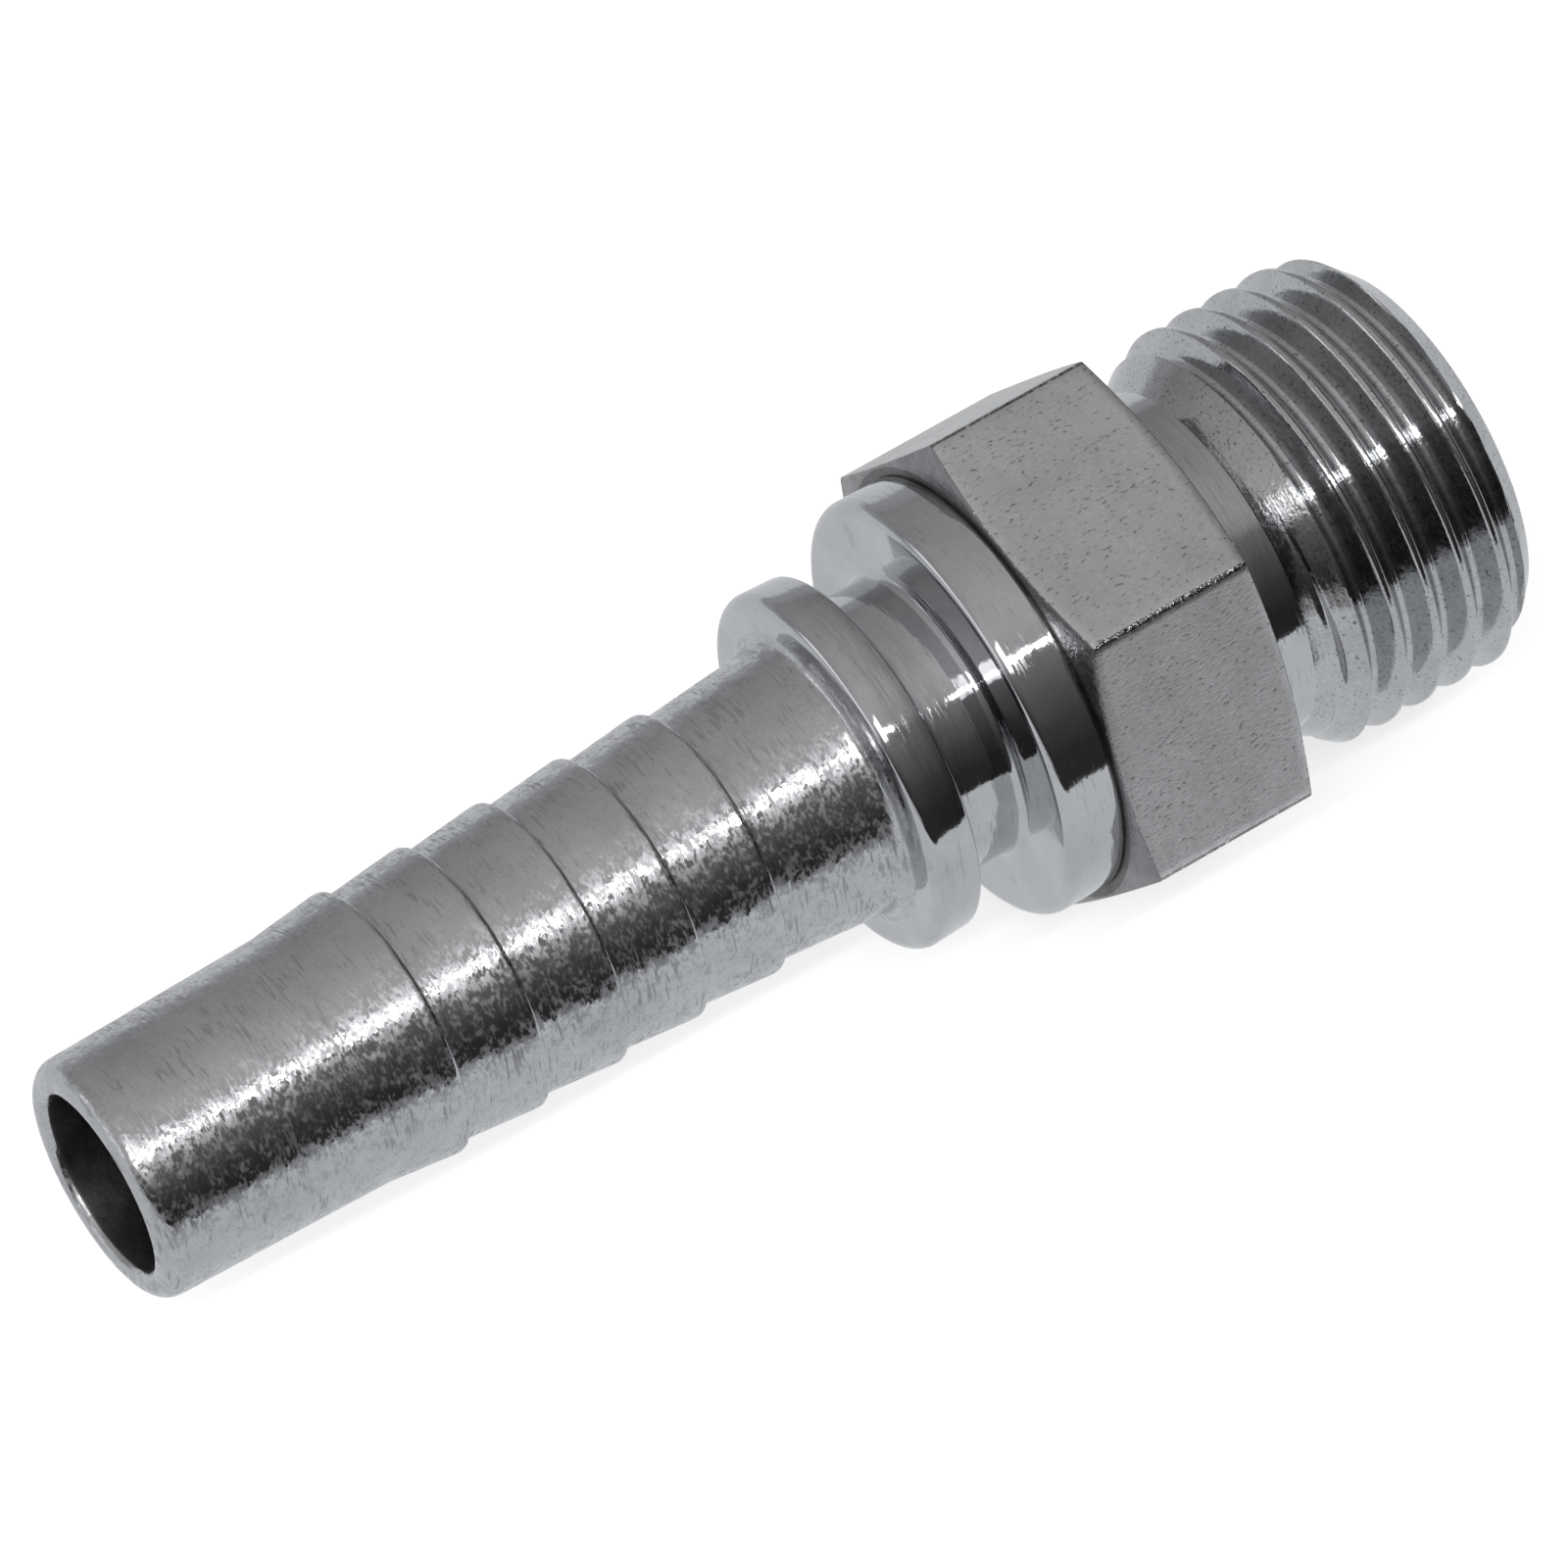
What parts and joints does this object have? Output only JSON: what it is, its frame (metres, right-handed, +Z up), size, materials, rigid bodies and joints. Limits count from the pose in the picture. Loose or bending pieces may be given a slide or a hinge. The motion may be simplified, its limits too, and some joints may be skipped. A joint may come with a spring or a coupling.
{
  "type": "straight male hose fitting",
  "caption": "One-piece steel hose fitting: barbed tail, ferrule collar and groove, spanner hexagon, and a male thread with a 24 degree cone socket.",
  "frame": {"origin": "on the fitting's axis, in the plane of the hexagon's end face on the thread side", "axes": "+X along the axis out of the threaded end, +Z up, square to the hexagon's upper flat; the fitting lies on the lower flat at Z = -8.5 mm"},
  "size_m": [0.0549, 0.0196, 0.017],
  "materials": {
    "plated_steel": "satin"
  },
  "bodies": {
    "root": {"hose_fitting": "plated_steel"}
  },
  "joints": []
}
